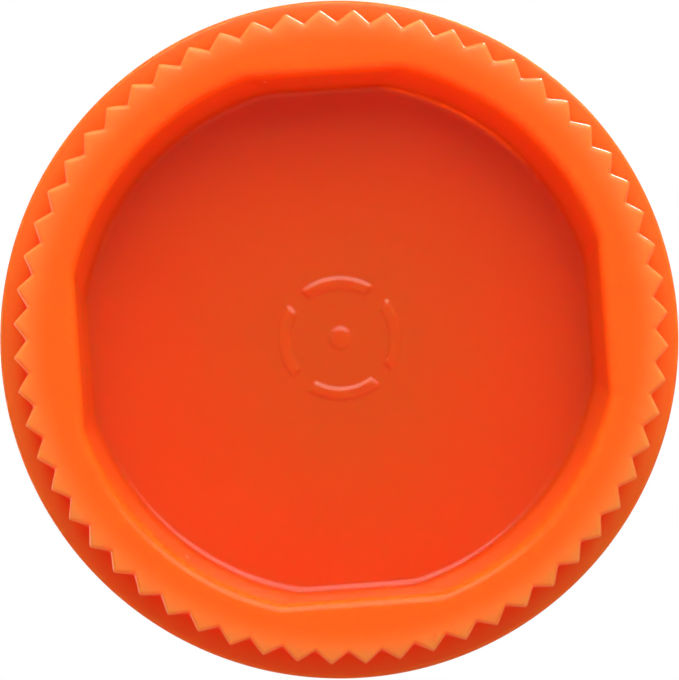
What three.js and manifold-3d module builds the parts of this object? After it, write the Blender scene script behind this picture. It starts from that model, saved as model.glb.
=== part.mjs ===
// A prescription vial with a two-piece push-and-turn closure, standing upright on its toothed foot ring.
// Millimetres, +Z up, origin at the centre of the face the vial stands on.
//
// The vial is one moulding: a toothed foot ring around a recess with four flats, a straight-walled body with
// a little draft, and a neck with an outside thread. The closure is a threaded inner cap with a liner, an
// outer cap snapped over it, and a ring of spring fingers that holds the outer cap up, off the drive lugs.
import * as THREE from "three";
import { mergeVertices } from "three/addons/utils/BufferGeometryUtils.js";
import Module from "manifold-3d";

const wasm = await Module();
wasm.setup();

// ---- Foot ring and base recess ----
const TOOTH_COUNT = 60;
const TOOTH_PITCH = 2.0; // along the circle of the tooth tips
const TOOTH_DEPTH = 0.7;
const TOOTH_TIP_WIDTH = 0.3; // the blunt end of each tooth
const TOOTH_LENGTH = 3.2; // up the vial, from the standing face to the shoulder
const FOOT_WIDTH = 2.35; // from the tooth roots in to the recess
const FOOT_CHAMFER = 0.35; // broken edge of the recess mouth
const RECESS_DEPTH = 5.0;
const RECESS_DRAFT = 0.45; // how much smaller the recess radius is at its floor
const FLAT_COUNT = 4;
const FLAT_INSET = 0.7; // how far the middle of a flat stands inside the recess circle
const FLAT_DRAFT = 0.12; // how much closer to the axis a flat is at the floor

// ---- Body and neck ----
const VIAL_HEIGHT = 76;
const SHOULDER_STEP = 1.15; // how far the body stands out past the tooth tips
const SHOULDER_ROUND = 0.9;
const BODY_DRAFT = 0.2; // how much wider the body is at the neck
const NECK_STEP = 0.35; // how far the neck's outside is set in from the body's
const WALL = 1.35;
const FLOOR = 1.4;
const FLOOR_CORNER = 1.2; // round where the inside wall meets the floor
const RIM_ROUND = 0.35;
const BEAD_DEPTH = 1.7; // how far the bead under the closure stands out from the body
const BEAD_HEIGHT = 1.3;

// ---- Thread, one start, right-handed ----
const THREAD_PITCH = 4.2;
const THREAD_DEPTH = 0.8;
const THREAD_ROOT_WIDTH = 1.5;
const THREAD_CREST_WIDTH = 0.7;
const THREAD_TURNS = 1.15;
const THREAD_TOP = 1.9; // from the rim down to the centre of the thread's upper end
const THREAD_FADE = 30; // degrees over which each end runs out

// ---- Closure ----
const RADIAL_CLEARANCE = 0.3; // thread crest to the wall it faces
const FLANK_CLEARANCE = 0.2; // between the two threads, along the axis
const CONTACT_GAP = 0.1; // between faces that rest on each other
const LINER_THICKNESS = 1.0;
const INNER_WALL = 0.95;
const INNER_TOP = 1.2;
const INNER_SKIRT = 12.2; // below the inner cap's top plate
const SHELL_CLEARANCE = 0.35; // inner cap to outer cap, all round
const OUTER_WALL = 1.05;
const OUTER_TOP = 1.2; // of the sunk panel
const OUTER_RIM_RISE = 0.6; // how far the ring round the panel stands above it
const OUTER_RIM_WIDTH = 4.6; // from the outside in to the panel
const OUTER_EDGE_ROUND = 1.4;
const SNAP_BEAD_REACH = 0.5; // how far it hooks under the inner cap's skirt
const SNAP_BEAD_HEIGHT = 0.9;
const SKIRT_LIP = 0.2; // outer skirt below the snap bead
const RIB_COUNT = 60;
const RIB_HEIGHT = 0.35;
const RIB_TOP_MARGIN = 2.2; // ribs stop this far under the cap's top
const RIB_FOOT_MARGIN = 1.6; // and this far above its lower edge

// ---- Drive lugs, which mesh only while the outer cap is pushed down ----
const LUG_COUNT = 12;
const LUG_HEIGHT = 1.2;
const LUG_GAP = 0.35; // between the two rings of lugs while the cap is up
const LUG_LENGTH = 4.0; // across the ring
const LUG_OUTER_MARGIN = 3.3; // from the inner cap's outside in to the lugs
const LUG_SHARE = 0.4; // of the angle from one lug to the next
const BOTTOMING_GAP = 0.15; // left between the pieces at full push

// ---- Spring ring ----
const SPRING_LUG_GAP = 1.6; // from the lugs in to the spring ring
const SPRING_CLEARANCE = 0.3; // from the spring ring in to the inner cap's collar
const COLLAR_WALL = 0.9;
const SPRING_WIDTH = 3.4;
const SPRING_BASE = 0.7;
const FINGER_COUNT = 6;
const FINGER_ARC = 46; // degrees
const FINGER_THICKNESS = 0.65;
const FINGER_WIDTH = 2.4;

// ---- Fineness of the facets ----
const SEGMENTS = TOOTH_COUNT;
const THREAD_STEPS_PER_TURN = 40;
const EDGE_STEPS = 3;
const CUT_MARGIN = 1; // a cutter runs this far past the face it opens

// ---- Sizes that follow ----
const TURN = 2 * Math.PI;
const tipRadius = (TOOTH_COUNT * TOOTH_PITCH) / TURN;
const rootRadius = tipRadius - TOOTH_DEPTH;
const recessRadius = rootRadius - FOOT_WIDTH;
const bodyRadius = tipRadius + SHOULDER_STEP;
const bodyTopRadius = bodyRadius + BODY_DRAFT;
const neckRadius = bodyTopRadius - NECK_STEP;
const mouthRadius = bodyTopRadius - WALL;
const threadRadius = neckRadius + THREAD_DEPTH;

const innerCapBore = threadRadius + RADIAL_CLEARANCE;
const innerCapThreadRadius = neckRadius + RADIAL_CLEARANCE;
const innerCapRadius = innerCapBore + INNER_WALL;
const outerCapBore = innerCapRadius + SHELL_CLEARANCE;
const outerCapRadius = outerCapBore + OUTER_WALL;

const linerZ = VIAL_HEIGHT + CONTACT_GAP;
const innerCapUnderside = linerZ + LINER_THICKNESS + CONTACT_GAP;
const innerCapTop = innerCapUnderside + INNER_TOP;
const innerSkirtFoot = innerCapUnderside - INNER_SKIRT;
const pushTravel = LUG_GAP + LUG_HEIGHT - BOTTOMING_GAP;
const outerCapUnderside = innerCapTop + 2 * LUG_HEIGHT + LUG_GAP;
const outerPanelTop = outerCapUnderside + OUTER_TOP;
const outerCapTop = outerPanelTop + OUTER_RIM_RISE;
const snapBeadTop = innerSkirtFoot - CONTACT_GAP;
const outerSkirtFoot = snapBeadTop - SNAP_BEAD_HEIGHT - SKIRT_LIP;
const beadTop = outerSkirtFoot - pushTravel - BOTTOMING_GAP - RADIAL_CLEARANCE;
const threadTopZ = VIAL_HEIGHT - THREAD_TOP;
const threadFootZ = threadTopZ - THREAD_TURNS * THREAD_PITCH;

const lugOuterRadius = innerCapRadius - LUG_OUTER_MARGIN;
const lugInnerRadius = lugOuterRadius - LUG_LENGTH;
const springOuterRadius = lugInnerRadius - SPRING_LUG_GAP;
const springInnerRadius = springOuterRadius - SPRING_WIDTH;
const collarRadius = springInnerRadius - SPRING_CLEARANCE;

// ---- From three.js geometry to solids and back ----

// A closed geometry as a solid, with its faces turned outwards if they point in.
function solidOf(geometry) {
  const bare = geometry.index ? geometry.toNonIndexed() : geometry.clone();
  bare.deleteAttribute("normal");
  bare.deleteAttribute("uv");
  const merged = mergeVertices(bare, 1e-4);
  const place = merged.attributes.position;
  const corners = [];
  const [a, b, c] = [0, 1, 2].map(() => new THREE.Vector3());
  let sixVolumes = 0;
  for (let i = 0; i < merged.index.count; i += 3) {
    const [p, q, r] = [0, 1, 2].map((k) => merged.index.getX(i + k));
    if (p === q || q === r || r === p) continue;
    corners.push(p, q, r);
    a.fromBufferAttribute(place, p);
    b.fromBufferAttribute(place, q);
    c.fromBufferAttribute(place, r);
    sixVolumes += a.dot(b.cross(c));
  }
  if (sixVolumes < 0) corners.reverse();
  const mesh = new wasm.Mesh({
    numProp: 3,
    vertProperties: place.array,
    triVerts: new Uint32Array(corners),
  });
  return new wasm.Manifold(mesh);
}

// A solid as a named three.js mesh.
function meshOf(name, solid, material) {
  const { numProp, vertProperties, triVerts } = solid.getMesh();
  const count = vertProperties.length / numProp;
  const place = new Float32Array(count * 3);
  for (let i = 0; i < count; i++) {
    place.set(vertProperties.subarray(i * numProp, i * numProp + 3), i * 3);
  }
  const geometry = new THREE.BufferGeometry();
  geometry.setAttribute("position", new THREE.BufferAttribute(place, 3));
  geometry.setIndex(new THREE.BufferAttribute(triVerts, 1));
  geometry.computeVertexNormals();
  const mesh = new THREE.Mesh(geometry, material);
  mesh.name = name;
  return mesh;
}

function joined(solids) {
  return solids.reduce((whole, piece) => whole.add(piece));
}

// ---- Shapes ----

// Points [radius, height] on a quarter round about a centre, from one angle to another in degrees.
function arc(radius, centreR, centreZ, from, to) {
  const points = [];
  for (let i = 0; i <= EDGE_STEPS; i++) {
    const angle = THREE.MathUtils.degToRad(from + ((to - from) * i) / EDGE_STEPS);
    points.push([centreR + radius * Math.cos(angle), centreZ + radius * Math.sin(angle)]);
  }
  return points;
}

// A solid of revolution about Z, from points [radius, height] that start and end on the axis.
function revolved(points) {
  const outline = points.map(([r, z]) => new THREE.Vector2(r, z));
  return solidOf(new THREE.LatheGeometry(outline, SEGMENTS).rotateX(Math.PI / 2));
}

function revolvedRing(points) {
  return revolved([...points, points[0]]);
}

function tube(innerRadius, outerRadius, low, high) {
  return revolvedRing([
    [innerRadius, low],
    [outerRadius, low],
    [outerRadius, high],
    [innerRadius, high],
  ]);
}

// A prism whose outline goes in and out: count ridges, each with a blunt tip and a sharp root.
function ridgedPrism(count, tip, root, tipWidth, low, high) {
  const outline = new THREE.Shape();
  const half = tipWidth / 2 / tip;
  for (let i = 0; i < count; i++) {
    const angle = (i * TURN) / count;
    for (const [r, at] of [
      [tip, angle - half],
      [tip, angle + half],
      [root, angle + TURN / count / 2],
    ]) {
      const point = [r * Math.cos(at), r * Math.sin(at)];
      if (outline.curves.length || outline.currentPoint.lengthSq()) outline.lineTo(...point);
      else outline.moveTo(...point);
    }
  }
  outline.closePath();
  const prism = new THREE.ExtrudeGeometry(outline, { depth: high - low, bevelEnabled: false });
  return solidOf(prism.translate(0, 0, low));
}

// A section drawn as [radius, height], carried round the axis from a start angle while it climbs.
// shape(share) gives the factor by which it stands out from anchorRadius at each share of its length.
function wound(section, { turns, climb = 0, start = 0, steps, anchorRadius = 0, shape = () => 1 }) {
  const outline = new THREE.Shape(section.map(([r, z]) => new THREE.Vector2(r, z)));
  const geometry = new THREE.ExtrudeGeometry(outline, { depth: 1, steps, bevelEnabled: false });
  const place = geometry.attributes.position;
  for (let i = 0; i < place.count; i++) {
    const share = place.getZ(i);
    const radius = anchorRadius + (place.getX(i) - anchorRadius) * shape(share);
    const angle = start + share * turns * TURN;
    const height = place.getY(i) + share * climb;
    place.setXYZ(i, radius * Math.cos(angle), radius * Math.sin(angle), height);
  }
  return solidOf(geometry);
}

// A thread ridge whose ends run out into the wall. reach is negative for an inside thread.
function threadRidge(wallRadius, reach, footZ, sink) {
  const side = Math.sign(reach);
  const section = [
    [wallRadius - side * sink, -THREAD_ROOT_WIDTH / 2],
    [wallRadius, -THREAD_ROOT_WIDTH / 2],
    [wallRadius + reach, -THREAD_CREST_WIDTH / 2],
    [wallRadius + reach, THREAD_CREST_WIDTH / 2],
    [wallRadius, THREAD_ROOT_WIDTH / 2],
    [wallRadius - side * sink, THREAD_ROOT_WIDTH / 2],
  ].map(([r, z]) => [r, z + footZ]);
  const fade = THREAD_FADE / 360 / THREAD_TURNS;
  return wound(section, {
    turns: THREAD_TURNS,
    climb: THREAD_TURNS * THREAD_PITCH,
    steps: Math.round(THREAD_TURNS * THREAD_STEPS_PER_TURN),
    anchorRadius: wallRadius - side * sink,
    shape: (share) => THREE.MathUtils.clamp(Math.min(share, 1 - share) / fade, 0.15, 1),
  });
}

// A ring of lugs with sloping sides, all of one height.
function lugRing(low, high, startTurn) {
  const section = [
    [lugInnerRadius, low],
    [lugOuterRadius, low],
    [lugOuterRadius, high],
    [lugInnerRadius, high],
  ];
  const width = LUG_SHARE / LUG_COUNT;
  return joined(
    Array.from({ length: LUG_COUNT }, (_, i) =>
      wound(section, {
        turns: width,
        start: ((i + startTurn) / LUG_COUNT - width / 2) * TURN,
        steps: 2,
      }),
    ),
  );
}

// ---- The pieces ----

function vialBody() {
  const beadRadius = bodyTopRadius + BEAD_DEPTH;
  const outside = revolved([
    [0, 0],
    [rootRadius, 0],
    [rootRadius, TOOTH_LENGTH],
    [bodyRadius - SHOULDER_ROUND, TOOTH_LENGTH],
    ...arc(SHOULDER_ROUND, bodyRadius - SHOULDER_ROUND, TOOTH_LENGTH + SHOULDER_ROUND, -60, 0),
    [bodyTopRadius, beadTop - BEAD_HEIGHT - BEAD_DEPTH / 2],
    [beadRadius, beadTop - BEAD_HEIGHT],
    [beadRadius, beadTop - RIM_ROUND],
    [beadRadius - RIM_ROUND, beadTop],
    [neckRadius, beadTop],
    ...arc(RIM_ROUND, neckRadius - RIM_ROUND, VIAL_HEIGHT - RIM_ROUND, 0, 90),
    [0, VIAL_HEIGHT],
  ]);
  const toothRise = TOOTH_LENGTH + SHOULDER_ROUND / 2; // the teeth run a little into the shoulder
  const teeth = ridgedPrism(TOOTH_COUNT, tipRadius, rootRadius, TOOTH_TIP_WIDTH, 0, toothRise);

  const insideFloor = RECESS_DEPTH + FLOOR;
  const insideRadius = bodyRadius - WALL;
  const inside = revolved([
    [0, insideFloor],
    ...arc(FLOOR_CORNER, insideRadius - FLOOR_CORNER, insideFloor + FLOOR_CORNER, -90, 0),
    [mouthRadius, VIAL_HEIGHT - RIM_ROUND],
    [mouthRadius + RIM_ROUND, VIAL_HEIGHT + 1e-3],
    [mouthRadius + RIM_ROUND, VIAL_HEIGHT + CUT_MARGIN],
    [0, VIAL_HEIGHT + CUT_MARGIN],
  ]);
  const thread = threadRidge(neckRadius, THREAD_DEPTH, threadFootZ, (WALL - NECK_STEP) / 2);
  return joined([outside, teeth, thread]).subtract(inside).subtract(baseRecess());
}

// The round recess in the foot, narrower at four flats, with a broken edge at its mouth.
function baseRecess() {
  const slope = RECESS_DRAFT / RECESS_DEPTH;
  const radiusAt = (z) => recessRadius - slope * z;
  const bowl = revolved([
    [0, -CUT_MARGIN],
    [radiusAt(-CUT_MARGIN), -CUT_MARGIN],
    [radiusAt(RECESS_DEPTH), RECESS_DEPTH],
    [0, RECESS_DEPTH],
  ]);
  const flatSlope = FLAT_DRAFT / RECESS_DEPTH;
  const flatAt = (z) => recessRadius - FLAT_INSET - flatSlope * z;
  const square = flatSidedTaper(flatAt(-CUT_MARGIN), flatAt(RECESS_DEPTH), -CUT_MARGIN, RECESS_DEPTH);
  const flare = FOOT_CHAMFER + CUT_MARGIN;
  const edge = revolved([
    [0, -CUT_MARGIN],
    [recessRadius + flare, -CUT_MARGIN],
    [recessRadius - FOOT_CHAMFER, 2 * FOOT_CHAMFER],
    [0, 2 * FOOT_CHAMFER],
  ]);
  const flatMouth = recessRadius - FLAT_INSET;
  const flatEdge = flatSidedTaper(
    flatMouth + flare,
    flatMouth - FOOT_CHAMFER,
    -CUT_MARGIN,
    2 * FOOT_CHAMFER,
  );
  return bowl.intersect(square).add(edge.intersect(flatEdge));
}

// A tapered prism with FLAT_COUNT sides, given by the distance from the axis to a side at each end.
function flatSidedTaper(lowFlat, highFlat, low, high) {
  const toCorner = 1 / Math.cos(Math.PI / FLAT_COUNT);
  const taper = new THREE.CylinderGeometry(
    highFlat * toCorner,
    lowFlat * toCorner,
    high - low,
    FLAT_COUNT,
    1,
    false,
    Math.PI / FLAT_COUNT,
  );
  return solidOf(taper.rotateX(Math.PI / 2).translate(0, 0, (low + high) / 2));
}

function innerCap() {
  const shell = revolved([
    [0, innerCapUnderside],
    [innerCapBore, innerCapUnderside],
    [innerCapBore, innerSkirtFoot],
    [innerCapRadius, innerSkirtFoot],
    ...arc(INNER_WALL, innerCapRadius - INNER_WALL, innerCapTop - INNER_WALL, 0, 90),
    [0, innerCapTop],
  ]);
  const threadDrop = (THREAD_ROOT_WIDTH + THREAD_CREST_WIDTH) / 2 + FLANK_CLEARANCE;
  const reach = innerCapThreadRadius - innerCapBore;
  const thread = threadRidge(innerCapBore, reach, threadFootZ - threadDrop, INNER_WALL / 2);
  const sink = INNER_TOP / 2;
  const lugs = lugRing(innerCapTop - sink, innerCapTop + LUG_HEIGHT, 0);
  const collar = tube(
    collarRadius - COLLAR_WALL,
    collarRadius,
    innerCapTop - sink,
    innerCapTop + LUG_HEIGHT,
  );
  return joined([shell, thread, lugs, collar]);
}

function outerCap() {
  const panelRadius = outerCapRadius - OUTER_RIM_WIDTH;
  const outside = revolved([
    [0, outerSkirtFoot],
    [outerCapRadius - RIM_ROUND, outerSkirtFoot],
    [outerCapRadius, outerSkirtFoot + RIM_ROUND],
    ...arc(OUTER_EDGE_ROUND, outerCapRadius - OUTER_EDGE_ROUND, outerCapTop - OUTER_EDGE_ROUND, 0, 90),
    [panelRadius + OUTER_RIM_RISE, outerCapTop],
    [panelRadius, outerPanelTop],
    [0, outerPanelTop],
  ]);
  const ribs = ridgedPrism(
    RIB_COUNT,
    outerCapRadius + RIB_HEIGHT,
    outerCapRadius - CONTACT_GAP,
    RIB_HEIGHT,
    outerSkirtFoot + RIB_FOOT_MARGIN,
    outerCapTop - RIB_TOP_MARGIN,
  );
  const beadRadius = innerCapRadius - SNAP_BEAD_REACH;
  const beadFoot = snapBeadTop - SNAP_BEAD_HEIGHT;
  const inside = revolved([
    [0, outerSkirtFoot - CUT_MARGIN],
    [outerCapBore, outerSkirtFoot - CUT_MARGIN],
    [outerCapBore, beadFoot - SKIRT_LIP / 2],
    [beadRadius, beadFoot + SNAP_BEAD_HEIGHT / 2],
    [beadRadius, snapBeadTop],
    [outerCapBore, snapBeadTop],
    [outerCapBore, outerCapUnderside],
    [0, outerCapUnderside],
  ]);
  const lugs = lugRing(outerCapUnderside - LUG_HEIGHT, outerCapUnderside + OUTER_TOP / 2, 0.5);
  return joined([outside, ribs]).subtract(inside).add(lugs);
}

function sealingLiner() {
  return revolved([
    [0, linerZ],
    [threadRadius, linerZ],
    [threadRadius, linerZ + LINER_THICKNESS],
    [0, linerZ + LINER_THICKNESS],
  ]);
}

// A flat ring that sits round the inner cap's collar, with fingers that climb to the outer cap.
function springRing() {
  const low = innerCapTop + CONTACT_GAP;
  const high = outerCapUnderside - CONTACT_GAP;
  const middle = (springInnerRadius + springOuterRadius) / 2;
  const section = [
    [middle - FINGER_WIDTH / 2, low],
    [middle + FINGER_WIDTH / 2, low],
    [middle + FINGER_WIDTH / 2, low + FINGER_THICKNESS],
    [middle - FINGER_WIDTH / 2, low + FINGER_THICKNESS],
  ];
  const fingers = Array.from({ length: FINGER_COUNT }, (_, i) =>
    wound(section, {
      turns: FINGER_ARC / 360,
      climb: high - low - FINGER_THICKNESS,
      start: (i * TURN) / FINGER_COUNT,
      steps: 6,
    }),
  );
  const base = tube(springInnerRadius, springOuterRadius, low, low + SPRING_BASE);
  return joined([base, ...fingers]);
}

// ---- Materials ----

const amberPlastic = new THREE.MeshStandardMaterial({ color: 0xf4641c, roughness: 0.32, metalness: 0 });
const whitePlastic = new THREE.MeshStandardMaterial({ color: 0xf1f0ec, roughness: 0.42, metalness: 0 });
const naturalPlastic = new THREE.MeshStandardMaterial({ color: 0xdfe3e2, roughness: 0.38, metalness: 0 });
const foam = new THREE.MeshStandardMaterial({ color: 0xf6f4ee, roughness: 0.85, metalness: 0 });
const springPlastic = new THREE.MeshStandardMaterial({ color: 0xe6dfc9, roughness: 0.45, metalness: 0 });

// ---- Assembly ----

const vial = new THREE.Group();
vial.add(
  meshOf("vial_body", vialBody(), amberPlastic),
  meshOf("sealing_liner", sealingLiner(), foam),
  meshOf("inner_cap", innerCap(), naturalPlastic),
  meshOf("spring_ring", springRing(), springPlastic),
  meshOf("outer_cap", outerCap(), whitePlastic),
);

export default vial;
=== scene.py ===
"""A prescription vial seen on its base: translucent orange body, white push-and-turn closure.

Most pieces are skins grown ring by ring round the vial's axis, because they are turned or nearly so. The
spring is bars swept round it. Blender's lengths are metres, and MM turns the sizes below into metres.
"""

import math

import bpy
import numpy as np
from mathutils import Matrix, Vector


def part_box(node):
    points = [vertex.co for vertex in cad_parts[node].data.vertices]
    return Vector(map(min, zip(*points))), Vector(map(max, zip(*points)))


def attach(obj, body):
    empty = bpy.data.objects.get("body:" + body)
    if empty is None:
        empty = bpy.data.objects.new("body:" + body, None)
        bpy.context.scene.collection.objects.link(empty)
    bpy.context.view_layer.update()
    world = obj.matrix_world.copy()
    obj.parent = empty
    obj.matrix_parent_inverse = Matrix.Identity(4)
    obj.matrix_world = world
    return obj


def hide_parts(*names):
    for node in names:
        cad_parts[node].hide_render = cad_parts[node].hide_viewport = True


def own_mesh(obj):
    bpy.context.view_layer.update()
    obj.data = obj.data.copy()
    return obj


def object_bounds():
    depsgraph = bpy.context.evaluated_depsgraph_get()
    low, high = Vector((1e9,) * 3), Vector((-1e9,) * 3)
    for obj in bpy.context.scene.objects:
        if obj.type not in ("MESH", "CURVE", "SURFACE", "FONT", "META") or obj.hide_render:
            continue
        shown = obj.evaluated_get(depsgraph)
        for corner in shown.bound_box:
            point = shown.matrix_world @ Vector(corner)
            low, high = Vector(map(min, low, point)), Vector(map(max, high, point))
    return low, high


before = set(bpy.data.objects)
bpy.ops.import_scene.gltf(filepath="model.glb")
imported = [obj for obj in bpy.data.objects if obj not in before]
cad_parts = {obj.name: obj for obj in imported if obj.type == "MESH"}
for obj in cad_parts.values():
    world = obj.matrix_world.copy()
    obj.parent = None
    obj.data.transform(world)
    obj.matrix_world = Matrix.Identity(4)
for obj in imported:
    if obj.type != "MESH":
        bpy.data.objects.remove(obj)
cad_low, cad_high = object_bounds()

MM = 0.001
TURN = 2 * math.pi

# ---------------------------------------------------------------------------
# Sizes, in millimetres unless they say otherwise
# ---------------------------------------------------------------------------

TOOTH_COUNT = 60
TOOTH_DEPTH = 0.7
TOOTH_SOFTNESS = 0.22  # share of half a tooth that is rounded at its tip and at its root
TOOTH_LENGTH = 3.2
TOOTH_EDGE = 0.34
SHOULDER_ROUND = 1.0
RECESS_RADIUS = 16.05
RECESS_FLOOR_RADIUS = 15.6
RECESS_DEPTH = 5.0
RECESS_EDGE = 0.7
RECESS_CORNER = 0.6
FLAT_INSET_AT_MOUTH = 0.7
FLAT_INSET_AT_FLOOR = 0.37
FLAT_COUNT = 4
FLOOR_THICKNESS = 1.4
WALL = 1.35
INSIDE_CORNER = 1.2
BEAD_ROUND = 0.36  # the bead's corners stand no further in than this
NECK_STEP = 0.35  # how far the neck's outside is set in from the body's

OUTER_WALL = 1.05
RIB_HEIGHT = 0.35
RIM_WIDTH = 4.6
PANEL_DROP = 0.6
TOP_THICKNESS = 1.2
INNER_WALL = 0.95

THREAD_PITCH = 4.2
THREAD_DEPTH = 0.8
THREAD_ROOT_WIDTH = 1.5
THREAD_CREST_WIDTH = 0.7
THREAD_TURNS = 1.15
THREAD_TOP = 1.9
THREAD_FADE = 30 / 360  # of a turn
THREAD_DROP = 1.3  # of the cap's thread below the vial's

GATE_MARK_RADIUS = 3.35  # middle of the four raised arcs on the recess floor
GATE_MARK_WIDTH = 0.8
GATE_MARK_HEIGHT = 0.13
GATE_DOT_RADIUS = 0.75

LUG_COUNT = 12
LUG_HEIGHT = 1.2
LUG_SHARE = 0.4
LUG_REACH = (14.85, 18.85)
SPRING_REACH = (9.85, 13.25)
COLLAR = (8.65, 9.55)
FINGER_COUNT = 6
FINGER_ARC = 46 / 360  # of a turn
FINGER_THICKNESS = 0.65
FINGER_WIDTH = 2.4
SPRING_BASE = 0.7

# ---------------------------------------------------------------------------
# Meshes
# ---------------------------------------------------------------------------

# Where the columns of a skin stand within one tooth, in degrees: close together at its tip and its root.
PITCH = 360 / TOOTH_COUNT
HALF_COLUMNS = (0.28, 0.62, 1.6, 2.45, 2.75)
COLUMNS = (0, *HALF_COLUMNS, PITCH / 2, *(PITCH - c for c in reversed(HALF_COLUMNS)))
FINE = np.radians([tooth * PITCH + c for tooth in range(TOOTH_COUNT) for c in COLUMNS])
COARSE_STEP = 3
COARSE = FINE[::COARSE_STEP]


def smoothstep(low, high, x):
    """0 below low, 1 above high, and a soft step between."""
    share = np.clip((np.asarray(x, float) - low) / (high - low), 0, 1)
    return share * share * (3 - 2 * share)


def off_centre(angles, count):
    """How far each angle is from the middle of the nearest of count equal sectors, in radians."""
    sector = TURN / count
    return (np.asarray(angles) + sector / 2) % sector - sector / 2


def tooth_dip(angles, softness=TOOTH_SOFTNESS):
    """0 at the tip of a tooth and 1 at its root, straight between with both ends rounded."""
    share = np.abs(off_centre(angles, TOOTH_COUNT)) / (TURN / TOOTH_COUNT / 2)
    ends = math.hypot(1, softness) - softness
    return (np.hypot(share, softness) - np.hypot(1 - share, softness) + ends) / (2 * ends)


def flat_sided(radius, inset, angles):
    """A circle cut by flats that stand inset inside it at their middles."""
    flat = (radius - inset) / np.cos(off_centre(angles, FLAT_COUNT))
    return np.minimum(radius, flat)


def helix_height(angles, heights, foot):
    """Height of the thread over its wall, as a share of its depth, for each angle and height."""
    found = np.zeros(np.broadcast(angles, heights).shape)
    for lap in range(math.ceil(THREAD_TURNS)):
        turned = (np.asarray(angles) % TURN) / TURN + lap
        away = np.abs(heights - foot - turned * THREAD_PITCH)
        flank = 1 - smoothstep(THREAD_CREST_WIDTH / 2, THREAD_ROOT_WIDTH / 2, away)
        run_in = smoothstep(0, THREAD_FADE, turned)
        run_out = 1 - smoothstep(THREAD_TURNS - THREAD_FADE, THREAD_TURNS, turned)
        found = np.maximum(found, flank * run_in * run_out)
    return found


def outline(corners):
    """Points along a line of corners (radius, height, round, steps to the next), each corner rounded."""
    turns = []
    for i, (r, z, bend, _) in enumerate(corners):
        here = np.array((r, z), float)
        if bend and 0 < i < len(corners) - 1:
            before = np.array(corners[i - 1][:2]) - here
            after = np.array(corners[i + 1][:2]) - here
            turns.append(corner_arc(here, before, after, bend))
        else:
            turns.append([here])
    found = list(turns[0])
    for (*_, steps), turn, following in zip(corners, turns, turns[1:]):
        start, stop = turn[-1], following[0]
        found += [start + (stop - start) * k / steps for k in range(1, steps)]
        found += following
    return found


def corner_arc(here, before, after, bend, steps=5):
    """An arc that touches both sides of a corner."""
    a, b = before / np.linalg.norm(before), after / np.linalg.norm(after)
    half = math.acos(np.clip(a @ b, -1, 1)) / 2
    reach = min(bend / math.tan(half), 0.49 * np.linalg.norm(before), 0.49 * np.linalg.norm(after))
    radius = reach * math.tan(half)
    middle = here + (a + b) / np.linalg.norm(a + b) * radius / math.sin(half)
    start, stop = here + a * reach - middle, here + b * reach - middle
    sweep = math.pi - 2 * half
    found = []
    for k in range(steps + 1):
        t = k / steps
        point = (math.sin((1 - t) * sweep) * start + math.sin(t * sweep) * stop) / math.sin(sweep)
        found.append(middle + point)
    return found


class Skin:
    """A closed mesh grown ring by ring round the axis, from a point on the axis to another."""

    def __init__(self):
        self.points = []
        self.faces = []
        self.last = None

    def centre(self, height):
        """Closes the skin on the axis, or starts it there."""
        self.points.append((0, 0, height * MM))
        tip = len(self.points) - 1
        if self.last is None:
            self.last = [tip]
            return
        ring = self.last
        for i, here in enumerate(ring):
            self.faces.append((here, ring[(i + 1) % len(ring)], tip))

    def ring(self, radii, heights, angles):
        radii, heights, angles = np.broadcast_arrays(radii, heights, angles)
        first = len(self.points)
        across = np.stack([radii * np.cos(angles), radii * np.sin(angles), heights], axis=1)
        self.points += [tuple(p) for p in across * MM]
        ring = list(range(first, len(self.points)))
        if self.last is not None:
            self.join(self.last, ring)
        self.last = ring

    def join(self, old, new):
        """Faces between two rings whose counts are equal or a whole ratio apart."""
        if len(old) == 1:
            self.faces += [(old[0], new[(i + 1) % len(new)], p) for i, p in enumerate(new)]
        elif len(old) == len(new):
            for i in range(len(old)):
                j = (i + 1) % len(old)
                self.faces.append((old[i], old[j], new[j], new[i]))
        elif len(old) > len(new):
            self.faces += [tuple(reversed(f)) for f in self.fans(new, old)]
        else:
            self.faces += self.fans(old, new)

    @staticmethod
    def fans(few, many):
        ratio = len(many) // len(few)
        found = []
        for i, here in enumerate(few):
            following = few[(i + 1) % len(few)]
            run = [many[(i * ratio + k) % len(many)] for k in range(ratio + 1)]
            half = (ratio + 1) // 2
            found += [(here, run[k + 1], run[k]) for k in range(half)]
            found.append((here, following, run[half]))
            found += [(following, run[k + 1], run[k]) for k in range(half, ratio)]
        return found

    def object(self, name):
        mesh = bpy.data.meshes.new(name)
        mesh.from_pydata(self.points, [], self.faces)
        mesh.validate()
        mesh.shade_smooth()
        piece = bpy.data.objects.new(name, mesh)
        bpy.context.scene.collection.objects.link(piece)
        return piece


def finish_piece(piece, body, node, material):
    piece.data.materials.append(material)
    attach(piece, body)
    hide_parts(node)
    return piece


# ---------------------------------------------------------------------------
# Shader maths
# ---------------------------------------------------------------------------


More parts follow.
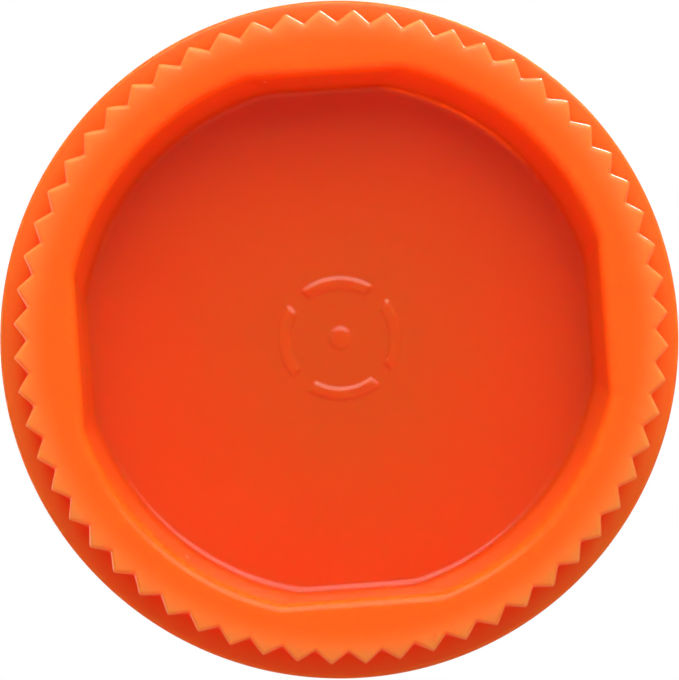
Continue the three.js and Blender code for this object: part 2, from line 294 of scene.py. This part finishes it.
class Value:
    """A number that varies over a surface. Arithmetic on it adds Math nodes."""

    def __init__(self, graph, socket):
        self.graph = graph
        self.socket = socket

    def math(self, operation, other):
        return self.graph.node("ShaderNodeMath", {0: self, 1: other}, operation=operation)[0]

    def reflected(self, operation, other):
        return self.graph.node("ShaderNodeMath", {0: other, 1: self}, operation=operation)[0]

    def __add__(self, other):
        return self.math("ADD", other)

    def __radd__(self, other):
        return self.math("ADD", other)

    def __sub__(self, other):
        return self.math("SUBTRACT", other)

    def __rsub__(self, other):
        return self.reflected("SUBTRACT", other)

    def __mul__(self, other):
        return self.math("MULTIPLY", other)

    def __rmul__(self, other):
        return self.math("MULTIPLY", other)

    def __pow__(self, other):
        return self.math("POWER", other)

    def step(self, low, high):
        """0 below low, 1 above high, smooth between; low may be the larger."""
        return self.graph.node(
            "ShaderNodeMapRange",
            {"Value": self, "From Min": low, "From Max": high},
            interpolation_type="SMOOTHSTEP",
        )["Result"]


class Graph:
    """One material's nodes."""

    def __init__(self, name):
        self.material = bpy.data.materials.new(name)
        self.material.use_nodes = True
        self.tree = self.material.node_tree
        self.tree.nodes.clear()

    def node(self, kind, sockets=None, **settings):
        """Adds a node, sets it up, then its sockets, and gives its outputs by name or number."""
        made = self.tree.nodes.new(kind)
        for key, value in settings.items():
            setattr(made, key, value)
        for key, value in (sockets or {}).items():
            if isinstance(value, Value):
                self.tree.links.new(value.socket, made.inputs[key])
            else:
                made.inputs[key].default_value = value
        return Outputs(self, made)

    def place(self):
        """The place on the piece in millimetres."""
        place = self.node("ShaderNodeTexCoord")["Object"]
        return self.node("ShaderNodeVectorMath", {0: place, "Scale": 1 / MM}, operation="SCALE")[0]

    def from_axis(self, place):
        """A place's distance from the axis, and its height."""
        parts = self.node("ShaderNodeSeparateXYZ", {0: place})
        x, y = parts[0], parts[1]
        return (x * x + y * y) ** 0.5, parts[2]

    def stretched(self, vector, along):
        return self.node("ShaderNodeVectorMath", {0: vector, 1: along}, operation="MULTIPLY")[0]

    def noise(self, vector, scale, detail=2.0, roughness=0.5):
        sockets = {"Vector": vector, "Scale": scale, "Detail": detail, "Roughness": roughness}
        return self.node("ShaderNodeTexNoise", sockets)[0]

    def specks(self, vector, scale, size):
        """1 inside small scattered dots of the given radius, 0 elsewhere."""
        near = self.node("ShaderNodeTexVoronoi", {"Vector": vector, "Scale": scale})["Distance"]
        return near.step(size, size * 0.4)

    def mix(self, factor, first, second):
        sockets = {0: factor, 6: first, 7: second}
        return self.node("ShaderNodeMix", sockets, data_type="RGBA")[2]

    def bump(self, height, distance, strength=1.0, under=None):
        sockets = {"Height": height, "Distance": distance * MM, "Strength": strength}
        if under is not None:
            sockets["Normal"] = under
        return self.node("ShaderNodeBump", sockets)["Normal"]

    def surface(self, sockets, other=None, share=None):
        """Ends the material with one plastic, or with two of which share says how much is the second."""
        shader = self.node("ShaderNodeBsdfPrincipled", sockets)[0]
        if other:
            second = self.node("ShaderNodeBsdfPrincipled", other)[0]
            shader = self.node("ShaderNodeMixShader", {0: share, 1: shader, 2: second})[0]
        self.node("ShaderNodeOutputMaterial", {"Surface": shader})
        return self.material


class Outputs:
    def __init__(self, graph, made):
        self.graph = graph
        self.made = made

    def __getitem__(self, key):
        return Value(self.graph, self.made.outputs[key])


# ---------------------------------------------------------------------------
# Materials
# ---------------------------------------------------------------------------

ORANGE = (1.0, 0.118, 0.007, 1)
ORANGE_PAINTED_GLOW = (1.0, 0.205, 0.04, 1)
FLOOR_SHADE_RED = (0.76, 0.041, 0.002, 1)
FLOOR_SHADE_BROWN = (0.5, 0.066, 0.003, 1)
WALL_SHADE_RED = (1.0, 0.1, 0.012, 1)
VALLEY_SHADE_RED = (1.0, 0.045, 0.005, 1)
DUST = (1, 0.4, 0.25, 1)
BODY_ORANGE = (1.0, 0.31, 0.03, 1)
BODY_EDGE_SHADE = (0.88, 0.11, 0.01, 1)
PLASTIC_IOR = 1.49


def amber_plastic(tip_radius):
    """Translucent orange moulding: cloudy in the thick foot, clear enough to see through in the body.

    Its colour carries painted light: paler at the teeth and on the shoulder, for light shining through the
    thin plastic, and painted shade, redder and darker between the tooth roots and in the recess, and darker
    red where the body is seen edge-on.
    """
    g = Graph("amber_plastic")
    place = g.place()
    radius, z = g.from_axis(place)
    root_radius = tip_radius - TOOTH_DEPTH
    in_recess = radius.step(RECESS_RADIUS + 0.5, RECESS_RADIUS)
    depth = z.step(0.3, RECESS_DEPTH * 0.6)
    recess = in_recess * depth
    on_floor = z.step(RECESS_DEPTH - 0.9, RECESS_DEPTH)

    # Painted light: the standing face by the teeth and the shoulder above them are paler, standing in for
    # light shining through the thin plastic there.
    edge = radius.step(root_radius - 1.4, tip_radius) * z.step(0.5, 0.0)
    shoulder = radius.step(tip_radius, tip_radius + 0.7) * z.step(TOOTH_LENGTH - 0.6, TOOTH_LENGTH)
    # Painted shade: the roots between the teeth are a darker red, where shade gathers between them.
    valley_shade = z.step(0.2, 1.2) * radius.step(tip_radius + 0.2, root_radius)
    cloud = g.noise(place, 0.12, 3.0)
    middle = radius.step(13.0, 2.0)
    # Painted shade in the recess: its floor is a darker red than the standing face and its wall a deeper
    # red, for light that reaches them through more plastic. The floor also turns darker and browner towards
    # its middle, with a random cloud.
    floor = g.mix(middle * 0.7 + (cloud - 0.5) * 0.5, FLOOR_SHADE_RED, FLOOR_SHADE_BROWN)
    recess_shade = g.mix(on_floor, WALL_SHADE_RED, floor)
    colour = g.mix(edge + shoulder * 0.25, ORANGE, ORANGE_PAINTED_GLOW)
    colour = g.mix(valley_shade * (1 - in_recess) * 0.8, colour, VALLEY_SHADE_RED)
    colour = g.mix(recess, colour, recess_shade)
    dust = g.specks(place, 0.23, 0.035)
    colour = g.mix(dust * 0.35, colour, DUST)

    smear = g.noise(place, 0.35, 4.0)
    scratches = g.noise(g.stretched(place, (4.0, 4.0, 0.4)), 0.8, 4.0, 0.6).step(0.62, 0.7)
    scratches = scratches * z.step(6.0, 9.0)
    roughness = smear * 0.06 + 0.18 + scratches * 0.05 + dust * 0.2
    fine = g.noise(place, 3.2, 3.0)
    normal = g.bump(fine, 0.015, 0.3)
    normal = g.bump(scratches + smear, 0.01, 0.3, under=normal)
    cloudy = {
        "Base Color": colour,
        "Roughness": roughness,
        "Normal": normal,
        "IOR": PLASTIC_IOR,
        "Subsurface Weight": 1.0,
        "Subsurface Radius": (1.0, 0.07, 0.03),
        "Subsurface Scale": 8.0 * MM,
        "Specular IOR Level": 0.14,
    }
    # Painted shade: where the body is seen edge-on it turns a darker red, standing in for the dark edge at
    # its outline.
    grazing_shade = g.node("ShaderNodeLayerWeight", {"Blend": 0.35, "Normal": normal})["Facing"]
    body_colour = g.mix(grazing_shade.step(0.45, 1.0) * 0.7 + cloud * 0.1, BODY_ORANGE, BODY_EDGE_SHADE)
    clear = {
        "Base Color": body_colour,
        "Roughness": smear * 0.08 + 0.12 + scratches * 0.1,
        "Normal": normal,
        "IOR": PLASTIC_IOR,
        "Transmission Weight": 0.78,
        "Subsurface Weight": 1.0,
        "Subsurface Radius": (1.0, 0.4, 0.12),
        "Subsurface Scale": 1.5 * MM,
    }
    return g.surface(cloudy, clear, z.step(3.0, 9.0))


def moulded_plastic(name, colour, shade, roughness, grain):
    """Opaque or milky moulding with a fine spark-eroded grain and faint grime in its texture."""
    g = Graph(name)
    place = g.place()
    cloud = g.noise(place, 0.1, 3.0)
    grime = g.noise(place, 0.9, 5.0, 0.6).step(0.58, 0.78)
    base = g.mix(cloud * 0.35 + grime * 0.25, colour, shade)
    pits = g.noise(place, 5.5, 2.0)
    rub = g.noise(g.stretched(place, (0.7, 0.7, 5.0)), 0.9, 3.0).step(0.62, 0.72)
    normal = g.bump(pits, grain, 0.6)
    return g.surface(
        {
            "Base Color": base,
            "Roughness": cloud * 0.1 + roughness - rub * 0.06 + grime * 0.06,
            "Normal": normal,
            "IOR": PLASTIC_IOR,
            "Subsurface Weight": 0.25,
            "Subsurface Radius": (1.0, 0.8, 0.6),
            "Subsurface Scale": 0.8 * MM,
        }
    )


def liner_foam():
    g = Graph("liner_foam")
    place = g.place()
    cells = g.node("ShaderNodeTexVoronoi", {"Vector": place, "Scale": 2.6})["Distance"]
    stain = g.noise(place, 0.16, 4.0)
    colour = g.mix(stain.step(0.4, 0.7) * 0.5, (0.9, 0.88, 0.83, 1), (0.8, 0.75, 0.66, 1))
    colour = g.mix(cells.step(0.25, 0.0) * 0.2, colour, (0.7, 0.66, 0.58, 1))
    return g.surface(
        {
            "Base Color": colour,
            "Roughness": stain * 0.2 + 0.62,
            "Normal": g.bump(cells, 0.05, 0.5),
        }
    )


# ---------------------------------------------------------------------------
# Pieces
# ---------------------------------------------------------------------------


def node_corners(node):
    """Distance from the axis and height, in mm, of each of a CAD node's corners."""
    corners = np.array([v.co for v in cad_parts[node].data.vertices]) / MM
    return np.hypot(corners[:, 0], corners[:, 1]), corners[:, 2]


def node_radius(node, low, high):
    """Largest distance from the axis of a CAD node's corners between two heights."""
    reach, heights = node_corners(node)
    return float(reach[(heights >= low) & (heights <= high)].max())


def node_heights(node):
    low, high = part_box(node)
    return low.z / MM, high.z / MM


def gate_mark(radius, angles):
    """Height of the plain raised mark on the recess floor: four arcs round a dot."""
    band = 1 - smoothstep(0.28, 0.5, np.abs(radius - GATE_MARK_RADIUS) / GATE_MARK_WIDTH)
    gap = np.abs(off_centre(angles - TURN / 8, FLAT_COUNT)) * radius
    arcs = band * smoothstep(0.5, 0.75, gap)
    dot = 1 - smoothstep(GATE_DOT_RADIUS - 0.25, GATE_DOT_RADIUS, radius)
    return GATE_MARK_HEIGHT * np.maximum(arcs, 0.7 * dot)


def vial_shell():
    low, top = node_heights("vial_body")
    tip = node_radius("vial_body", low, low + 1)
    body = node_radius("vial_body", TOOTH_LENGTH, TOOTH_LENGTH + 2)
    bead = node_radius("vial_body", low, top)
    bead_top = bead_height("vial_body", bead)
    neck = node_radius("vial_body", top - 0.5, top)
    mouth = neck - (WALL - NECK_STEP)
    inside_floor = RECESS_DEPTH + FLOOR_THICKNESS
    thread_foot = top - THREAD_TOP - THREAD_TURNS * THREAD_PITCH

    skin = Skin()
    skin.centre(RECESS_DEPTH - gate_mark(0, 0))
    for radius in np.arange(0.1, GATE_MARK_RADIUS + GATE_MARK_WIDTH, 0.1):
        skin.ring(radius, RECESS_DEPTH - gate_mark(radius, COARSE), COARSE)
    for radius in (6, 9, 12):
        skin.ring(radius, RECESS_DEPTH, COARSE)

    # Recess wall, from the floor down to the edge of the foot ring.
    recess = outline(
        [
            (13.8, RECESS_DEPTH, 0, 2),
            (RECESS_FLOOR_RADIUS, RECESS_DEPTH, RECESS_CORNER, 8),
            (RECESS_RADIUS, 0, RECESS_EDGE, 1),
            (RECESS_RADIUS + 1.1, 0, 0, 1),
        ]
    )
    for r, z in recess:
        deep = np.clip(z / RECESS_DEPTH, 0, 1)
        inset = FLAT_INSET_AT_MOUTH + (FLAT_INSET_AT_FLOOR - FLAT_INSET_AT_MOUTH) * deep
        skin.ring(flat_sided(r, inset, FINE), z, FINE)

    # The standing face, out to the teeth.
    dips = TOOTH_DEPTH * tooth_dip(FINE)
    inner = flat_sided(RECESS_RADIUS + 1.1, FLAT_INSET_AT_MOUTH, FINE)
    outer = tip - TOOTH_EDGE * 2.4 - dips
    for share in (0.3, 0.6, 0.85):
        skin.ring(inner + (outer - inner) * share, 0, FINE)

    # The teeth, up to the shoulder.
    teeth = outline(
        [
            (tip - TOOTH_EDGE * 2.4, 0, 0, 1),
            (tip, 0, TOOTH_EDGE, 3),
            (tip, TOOTH_LENGTH, 0.2, 1),
            (tip + 0.3, TOOTH_LENGTH, 0, 1),
        ]
    )
    for r, z in teeth:
        fade = 1 - smoothstep(TOOTH_LENGTH - 0.25, TOOTH_LENGTH + 0.01, z)
        skin.ring(r - dips * max(fade, 0.6), z, FINE)

    # Shoulder, body, the bead under the closure, neck, rim and the inside back to the axis.
    bead_low = bead_top - 1.3
    outside = outline(
        [
            (body - 0.55, TOOTH_LENGTH, 0, 1),
            (body + 0.02, TOOTH_LENGTH, SHOULDER_ROUND, 10),
            (neck + 0.35, bead_low - 0.85, 0.5, 1),
            (bead, bead_low, 0.4, 1),
            (bead, bead_top, 0.35, 2),
            (neck, bead_top, 0.4, 52),
            (neck, top, 0.35, 1),
            (mouth, top, 0.35, 14),
            (body - WALL, inside_floor, INSIDE_CORNER, 8),
            (1, inside_floor, 0, 1),
        ]
    )
    for r, z in outside:
        radii = np.full(len(COARSE), r)
        if abs(r - neck) < 0.02 and z > bead_top + 0.5:
            radii = radii + THREAD_DEPTH * helix_height(COARSE, z, thread_foot)
        skin.ring(radii, z, COARSE)
    skin.centre(inside_floor)
    return skin.object("vial"), tip


def bead_height(node, bead):
    """Height of the top of the bead: the highest of the CAD node's corners that nearly reach its radius."""
    reach, heights = node_corners(node)
    return float(heights[reach > bead - BEAD_ROUND].max())


def lugs(radius, angles, start):
    """1 on a drive lug and 0 between, for one radius and a ring of angles."""
    low, high = LUG_REACH
    across = smoothstep(low - 0.15, low + 0.1, radius) * (1 - smoothstep(high - 0.1, high + 0.15, radius))
    half = LUG_SHARE * TURN / LUG_COUNT / 2
    away = np.abs(off_centre(angles - start * TURN / LUG_COUNT, LUG_COUNT))
    return across * (1 - smoothstep(half - 0.02, half + 0.01, away))


def turn_arrows(radius, angles):
    """1 on the two raised turning arrows on the cap's panel."""
    middle, half_width = 12.3, 0.55
    away = off_centre(angles, 2)
    bar = (np.abs(radius - middle) < half_width) * (away > -0.62) * (away < 0.42)
    head_share = (away - 0.42) / 0.26
    head_width = 1.5 * (1 - head_share)
    head = (head_share >= 0) * (head_share <= 1) * (np.abs(radius - middle) < head_width)
    return np.clip(bar + head, 0, 1).astype(float)


def outer_cap():
    low, top = node_heights("outer_cap")
    widest = node_radius("outer_cap", low, top)
    outer = widest - RIB_HEIGHT
    bore = outer - OUTER_WALL
    panel = outer - RIM_WIDTH
    panel_top = top - PANEL_DROP
    underside = panel_top - TOP_THICKNESS
    inner_foot = node_heights("inner_cap")[0]

    skin = Skin()
    skin.centre(underside)
    for radius in (4, 8, 12, 14.4):
        skin.ring(radius, underside, COARSE)
    for radius in np.linspace(LUG_REACH[0] - 0.2, LUG_REACH[1] + 0.2, 18):
        skin.ring(radius, underside - LUG_HEIGHT * lugs(radius, COARSE, 0.5), COARSE)
    bead = node_radius("inner_cap", inner_foot, inner_foot + 1) - 0.5
    inside = outline(
        [
            (LUG_REACH[1] + 0.6, underside, 0, 1),
            (bore, underside, 0.5, 6),
            (bore, inner_foot - 0.1, 0, 1),
            (bead, inner_foot - 0.1, 0.15, 1),
            (bead, inner_foot - 0.55, 0.2, 1),
            (bore, inner_foot - 1.05, 0.1, 1),
            (bore + 0.05, low, 0.12, 1),
            (outer, low, 0.4, 1),
            (outer, low + 1.0, 0, 1),
        ]
    )
    for r, z in inside:
        skin.ring(r, z, COARSE)
    ribs = 1 - smoothstep(0.2, 0.82, tooth_dip(FINE))
    rib_low, rib_top = low + 1.6, top - 2.2
    rib_foot = (low + 1.2, rib_low - 0.15, rib_low, rib_low + 0.25)
    for z in (*rib_foot, *np.linspace(rib_low + 1, rib_top - 1, 8)):
        rise = smoothstep(rib_low - 0.2, rib_low + 0.2, z)
        skin.ring(outer + RIB_HEIGHT * ribs * rise, z, FINE)
    for z in np.linspace(rib_top - 0.5, rib_top + 0.5, 6):
        fall = 1 - smoothstep(rib_top - 0.5, rib_top + 0.4, z)
        skin.ring(outer + RIB_HEIGHT * ribs * fall, z, FINE)
    crown = outline(
        [
            (outer, rib_top + 0.65, 0, 1),
            (outer, top, 1.4, 1),
            (panel + 0.6, top, 0.4, 1),
            (panel, panel_top, 0.4, 1),
            (15.5, panel_top, 0, 1),
        ]
    )
    for r, z in crown:
        skin.ring(r, z, COARSE)
    for radius in np.arange(14.4, 10.2, -0.15):
        skin.ring(radius, panel_top + 0.25 * turn_arrows(radius, COARSE), COARSE)
    for radius in (8, 5):
        skin.ring(radius, panel_top, COARSE)
    for radius, height in ((2.0, 0), (1.75, 0.06), (1.6, 0.1), (0.8, 0.1)):
        skin.ring(radius, panel_top - height, COARSE)
    skin.centre(panel_top - 0.1)
    return skin.object("outer_cap_shell")


def inner_cap():
    low, high = node_heights("inner_cap")
    top = high - LUG_HEIGHT
    outer = node_radius("inner_cap", low, low + 1)
    bore = outer - INNER_WALL
    underside = top - TOP_THICKNESS
    foot = node_heights("vial_body")[1] - THREAD_TOP - THREAD_TURNS * THREAD_PITCH - THREAD_DROP

    skin = Skin()
    skin.centre(underside)
    for r, z in outline(
        [
            (6, underside, 0, 2),
            (bore, underside, 0.2, 54),
            (bore, low, 0.15, 1),
            (outer, low, 0.15, 6),
            (outer, top, 0.95, 1),
            (LUG_REACH[1] + 0.4, top, 0, 1),
        ]
    ):
        radii = np.full(len(COARSE), r)
        if abs(r - bore) < 0.02:
            radii = radii - THREAD_DEPTH * helix_height(COARSE, z, foot)
        skin.ring(radii, z, COARSE)
    for radius in np.linspace(LUG_REACH[1] + 0.2, LUG_REACH[0] - 0.2, 18):
        skin.ring(radius, top + LUG_HEIGHT * lugs(radius, COARSE, 0), COARSE)
    for r, z in outline(
        [
            (COLLAR[1] + 2, top, 0, 1),
            (COLLAR[1], top, 0.15, 1),
            (COLLAR[1], high, 0.2, 1),
            (COLLAR[0], high, 0.2, 1),
            (COLLAR[0], top, 0.15, 1),
            (4, top, 0, 1),
        ]
    ):
        skin.ring(r, z, COARSE)
    skin.centre(top)
    return skin.object("inner_cap_shell")


def liner_disc():
    low, high = node_heights("sealing_liner")
    radius = node_radius("sealing_liner", low, high)
    seat = node_radius("vial_body", 75, 76) - 0.5
    skin = Skin()
    skin.centre(low)
    pressed = outline([(6, low, 0, 3), (seat - 0.9, low, 0.1, 1), (seat - 0.5, low + 0.06, 0, 1)])
    for r, z in pressed:
        skin.ring(r, z, COARSE)
    for r, z in outline(
        [
            (seat + 0.5, low + 0.06, 0, 1),
            (seat + 0.8, low, 0, 1),
            (radius, low, 0.15, 1),
            (radius, high, 0.15, 1),
            (6, high, 0, 1),
        ]
    ):
        skin.ring(r, z, COARSE)
    skin.centre(high)
    return skin.object("liner_disc")


def spring():
    """A flat ring with fingers that climb from it, each a bar swept round the axis."""
    low, high = node_heights("spring_ring")
    inner, outer = SPRING_REACH
    points, faces = [], []

    def swept(section, angles, climbs, closed):
        first = len(points)
        count = len(section)
        for angle, climb in zip(angles, climbs):
            for r, z in section:
                points.append((r * math.cos(angle) * MM, r * math.sin(angle) * MM, (z + climb) * MM))
        laps = len(angles) if closed else len(angles) - 1
        for i in range(laps):
            here, there = first + i * count, first + (i + 1) % len(angles) * count
            for k in range(count):
                j = (k + 1) % count
                faces.append((here + k, here + j, there + j, there + k))
        if not closed:
            last = first + (len(angles) - 1) * count
            faces.append(tuple(reversed(range(first, first + count))))
            faces.append(tuple(range(last, last + count)))

    base = [(inner, low), (outer, low), (outer, low + SPRING_BASE), (inner, low + SPRING_BASE)]
    swept(base, np.linspace(0, TURN, 120, endpoint=False), np.zeros(120), True)
    middle = (inner + outer) / 2
    near, far = middle - FINGER_WIDTH / 2, middle + FINGER_WIDTH / 2
    finger = [(near, low), (far, low), (far, low + FINGER_THICKNESS), (near, low + FINGER_THICKNESS)]
    shares = np.linspace(0, 1, 13)
    climbs = smoothstep(0, 1.25, shares) / smoothstep(0, 1.25, 1) * (high - low - FINGER_THICKNESS)
    for i in range(FINGER_COUNT):
        start = i * TURN / FINGER_COUNT
        swept(finger, start + shares * FINGER_ARC * TURN, climbs, False)
    mesh = bpy.data.meshes.new("spring")
    mesh.from_pydata(points, [], faces)
    piece = bpy.data.objects.new("spring_fingers", mesh)
    bpy.context.scene.collection.objects.link(piece)
    bevel = piece.modifiers.new("edges", "BEVEL")
    bevel.width = 0.1 * MM
    bevel.segments = 2
    return piece


# ---------------------------------------------------------------------------
# Stage
# ---------------------------------------------------------------------------


FLOOR_FADE = (120, 420)  # mm from the axis
SKY_GLOW = 0.43


def stage_floor():
    """A pale floor under the vial. It has one side: from below, the vial's foot is seen through it."""
    g = Graph("pale_floor")
    place = g.place()
    radius, _ = g.from_axis(place)
    mottle = g.noise(place, 0.02, 3.0)
    colour = g.mix(mottle, (0.82, 0.82, 0.81, 1), (0.88, 0.88, 0.87, 1))
    lit = g.node("ShaderNodeBsdfDiffuse", {"Color": colour})[0]
    even = g.node("ShaderNodeEmission", {"Color": (0.8, 0.8, 0.8, 1)})[0]
    pale = g.node("ShaderNodeMixShader", {0: 0.6, 1: lit, 2: even})[0]
    clear = g.node("ShaderNodeBsdfTransparent")[0]
    underside = g.node("ShaderNodeNewGeometry")["Backfacing"]
    faded = radius.step(FLOOR_FADE[0], FLOOR_FADE[1])
    hidden = underside.math("MAXIMUM", faded)
    shown = g.node("ShaderNodeMixShader", {0: hidden, 1: pale, 2: clear})[0]
    g.node("ShaderNodeOutputMaterial", {"Surface": shown})

    mesh = bpy.data.meshes.new("floor")
    half, level = 2.0, cad_low.z - 0.02 * MM
    sheet = [(-half, -half, level), (half, -half, level), (half, half, level), (-half, half, level)]
    mesh.from_pydata(sheet, [], [(0, 1, 2, 3)])
    mesh.materials.append(g.material)
    floor = bpy.data.objects.new("floor", mesh)
    bpy.context.scene.collection.objects.link(floor)
    floor.visible_diffuse = False
    floor.visible_glossy = False
    floor.visible_transmission = False
    floor.visible_shadow = False


def soft_light(name, place, target, size, power, colour=(1, 1, 1), only=None):
    lamp = bpy.data.lights.new(name, "AREA")
    lamp.shape = "DISK"
    lamp.size = size
    lamp.energy = power
    lamp.color = colour
    light = bpy.data.objects.new(name, lamp)
    light.location = place
    aim = Vector(target) - Vector(place)
    light.rotation_euler = aim.to_track_quat("-Z", "Y").to_euler()
    light.visible_camera = False
    bpy.context.scene.collection.objects.link(light)
    if only:
        lit = bpy.data.collections.new(name + "_lights")
        lit.objects.link(only)
        light.light_linking.receiver_collection = lit


def studio_world():
    """White overhead to the camera and pale grey lower down. It lights the part less, and evenly."""
    world = bpy.data.worlds.new("studio")
    bpy.context.scene.world = world
    world.use_nodes = True
    nodes, links = world.node_tree.nodes, world.node_tree.links
    nodes.clear()
    height = nodes.new("ShaderNodeSeparateXYZ")
    links.new(nodes.new("ShaderNodeTexCoord").outputs["Generated"], height.inputs[0])

    lift = nodes.new("ShaderNodeMapRange")
    for key, value in {"From Min": 0.2, "From Max": 0.7, "To Min": 0.8, "To Max": 1.0}.items():
        lift.inputs[key].default_value = value
    links.new(height.outputs["Z"], lift.inputs["Value"])
    glow, backdrop = nodes.new("ShaderNodeBackground"), nodes.new("ShaderNodeBackground")
    glow.inputs["Color"].default_value = backdrop.inputs["Color"].default_value = (1, 1, 1, 1)
    glow.inputs["Strength"].default_value = SKY_GLOW
    links.new(lift.outputs["Result"], backdrop.inputs["Strength"])
    seen = nodes.new("ShaderNodeLightPath").outputs["Is Camera Ray"]
    mix = nodes.new("ShaderNodeMixShader")
    links.new(seen, mix.inputs[0])
    links.new(glow.outputs[0], mix.inputs[1])
    links.new(backdrop.outputs[0], mix.inputs[2])
    links.new(mix.outputs[0], nodes.new("ShaderNodeOutputWorld").inputs["Surface"])


def base_camera():
    """Looks up the vial's axis at its foot, from a little to one side."""
    distance = 125 * MM
    width = 39.47 * MM  # of the view, at the standing face
    aside, down, roll = 3.8 * MM, 5.7 * MM, math.radians(4.1)
    frame_shift = (-0.00457, -0.00781)  # share of the width that the vial stands off the view's middle

    right = Vector((math.cos(-roll), -math.sin(-roll), 0))
    up = Vector((-math.sin(-roll), -math.cos(-roll), 0))
    lens = bpy.data.cameras.new("base_camera")
    lens.sensor_width = 36
    lens.lens = lens.sensor_width / 2 / (width / 2 / distance)
    lens.clip_start = 0.01
    camera = bpy.data.objects.new("base_camera", lens)
    camera.location = -right * aside - up * down + Vector((0, 0, -distance))
    back = (camera.location - right * frame_shift[0] * width - up * frame_shift[1] * width).normalized()
    side = up.cross(back).normalized()
    turn = Matrix((side, back.cross(side), back)).transposed()
    camera.rotation_euler = turn.to_euler()
    bpy.context.scene.collection.objects.link(camera)
    bpy.context.scene.camera = camera


# ---------------------------------------------------------------------------
# The scene
# ---------------------------------------------------------------------------

bpy.context.scene.view_settings.view_transform = "Standard"
base_camera()
studio_world()
stage_floor()
soft_light("key_above", (0.35, -0.55, 0.75), (0, 0, 0.04), 0.4, 6)
soft_light("fill_above", (-0.65, 0.1, 0.45), (0, 0, 0.04), 0.5, 1.6)

vial, tooth_tip = vial_shell()
finish_piece(vial, "vial", "vial_body", amber_plastic(tooth_tip))
# A table would keep the lamps under the foot from the closure, so they light the vial alone.
soft_light("key_below", (0.08, -0.46, -0.40), (0, 0, 0.01), 0.72, 7.0, only=vial)
soft_light("bounce_below", (0.10, 0.42, -0.40), (0, 0, 0.01), 0.5, 0.6, (1, 0.4, 0.2), only=vial)
finish_piece(liner_disc(), "liner", "sealing_liner", liner_foam())
finish_piece(
    inner_cap(),
    "inner_cap",
    "inner_cap",
    moulded_plastic("natural_plastic", (0.74, 0.77, 0.77, 1), (0.62, 0.66, 0.66, 1), 0.34, 0.02),
)
fingers = finish_piece(
    spring(),
    "spring",
    "spring_ring",
    moulded_plastic("spring_plastic", (0.8, 0.75, 0.62, 1), (0.7, 0.65, 0.52, 1), 0.4, 0.02),
)
finish_piece(
    outer_cap(),
    "outer_cap",
    "outer_cap",
    moulded_plastic("white_plastic", (0.84, 0.84, 0.82, 1), (0.72, 0.72, 0.69, 1), 0.38, 0.03),
)
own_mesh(fingers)
